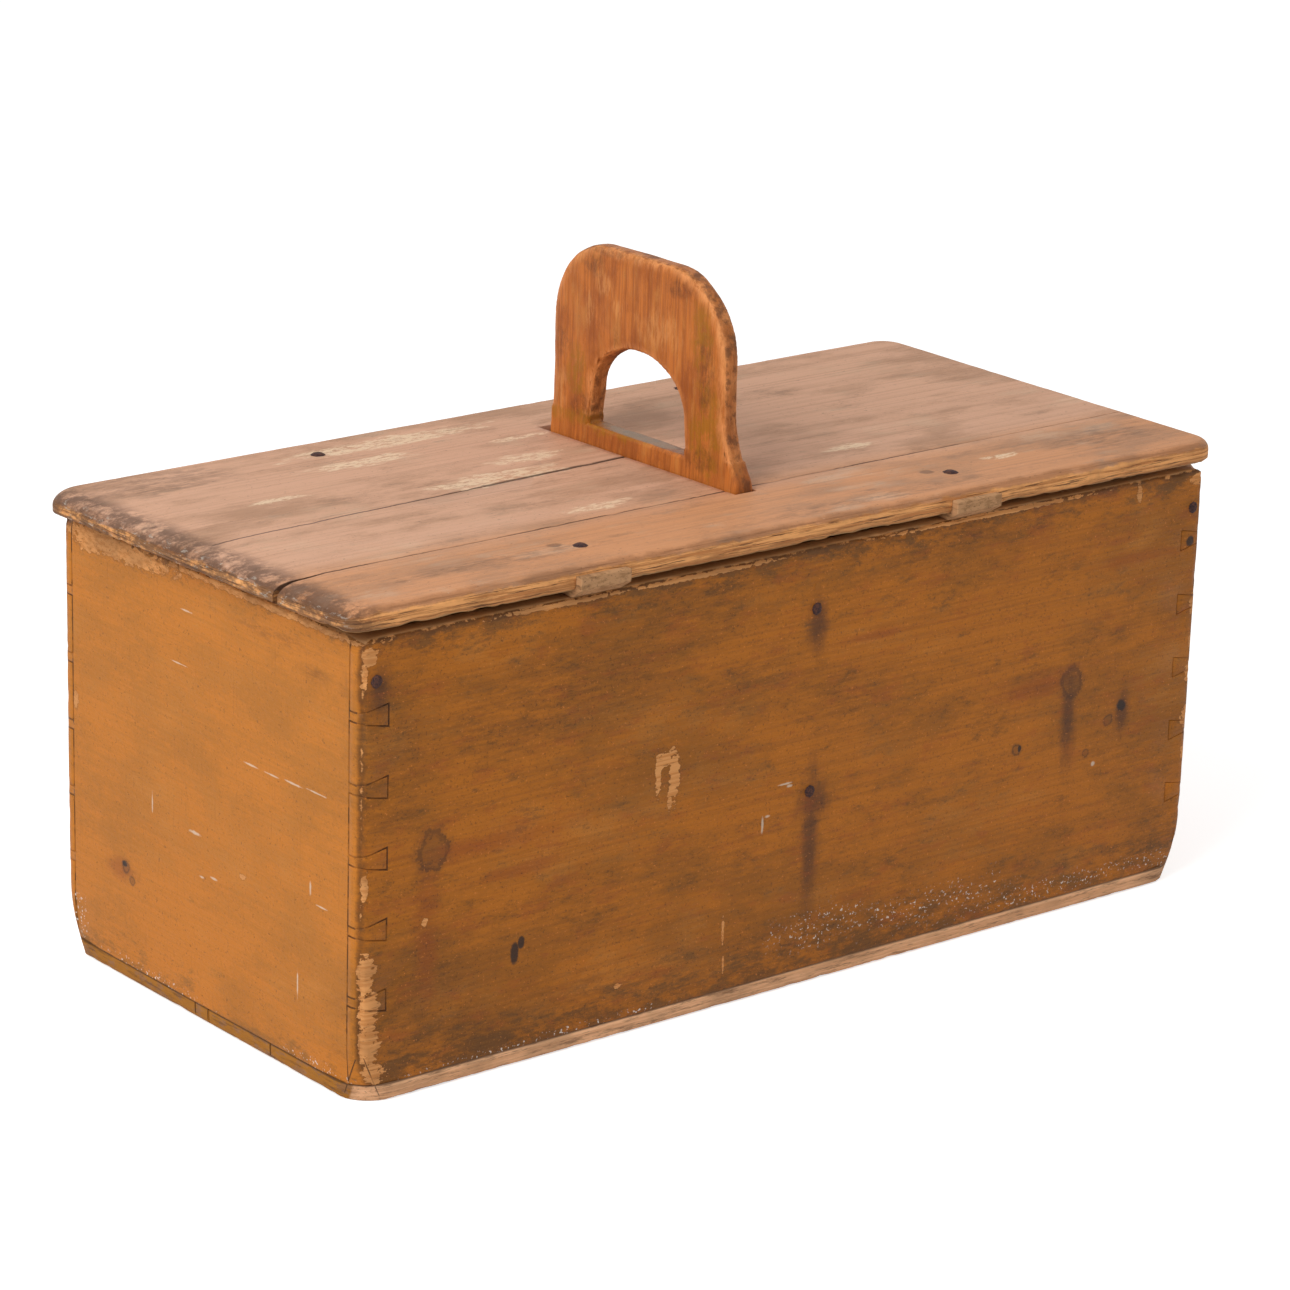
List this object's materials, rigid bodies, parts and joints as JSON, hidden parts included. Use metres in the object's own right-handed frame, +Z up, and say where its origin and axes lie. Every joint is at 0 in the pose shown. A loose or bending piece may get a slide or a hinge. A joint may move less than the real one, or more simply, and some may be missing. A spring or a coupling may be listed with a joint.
{
  "type": "lidded wooden storage bin",
  "caption": "Dovetailed wooden flour bin with two compartments; a divider board rises through the slotted lift-off lid as the carrying handle.",
  "frame": {"origin": "centre of the box's footprint, on the floor, at the underside of the middle bottom board", "axes": "+X along the bin's length, to the right seen from the front; +Y from front to back; +Z up, the way the lid lifts"},
  "size_m": [0.719, 0.348, 0.45],
  "materials": {
    "painted_pine_front": "worn brown ochre paint",
    "painted_pine_end": "worn ochre paint",
    "bare_pine": "bare, darkened",
    "worn_handle_pine": "hand-worn ochre paint over pine",
    "faded_lid_pine": "faded, scrubbed paint",
    "grey_batten_pine": "bare, greyed",
    "rusted_iron": "rusted wrought nail"
  },
  "bodies": {
    "box": {"front_board": "painted_pine_front", "back_board": "painted_pine_front", "left_end_board": "painted_pine_end", "right_end_board": "painted_pine_end", "bottom_board_front": "bare_pine", "bottom_board_middle": "bare_pine", "bottom_board_rear": "bare_pine", "handle_board": "worn_handle_pine", "divider_peg": "bare_pine", "divider_nails_front": "rusted_iron", "divider_nails_back": "rusted_iron", "corner_nails_front": "rusted_iron", "corner_nails_back": "rusted_iron", "bottom_nails_left": "rusted_iron", "bottom_nails_right": "rusted_iron", "bottom_nails_front": "rusted_iron", "bottom_nails_back": "rusted_iron", "bottom_nails_divider": "rusted_iron"},
    "lid": {"lid_front_plank": "faded_lid_pine", "lid_rear_plank": "faded_lid_pine", "left_batten": "grey_batten_pine", "right_batten": "grey_batten_pine", "left_batten_nails": "rusted_iron", "right_batten_nails": "rusted_iron"}
  },
  "joints": [
    {"name": "lid_lift", "type": "slide", "parent": "box", "child": "lid", "axis": [0, 0, 1], "range_m": [0, 0.18]}
  ]
}
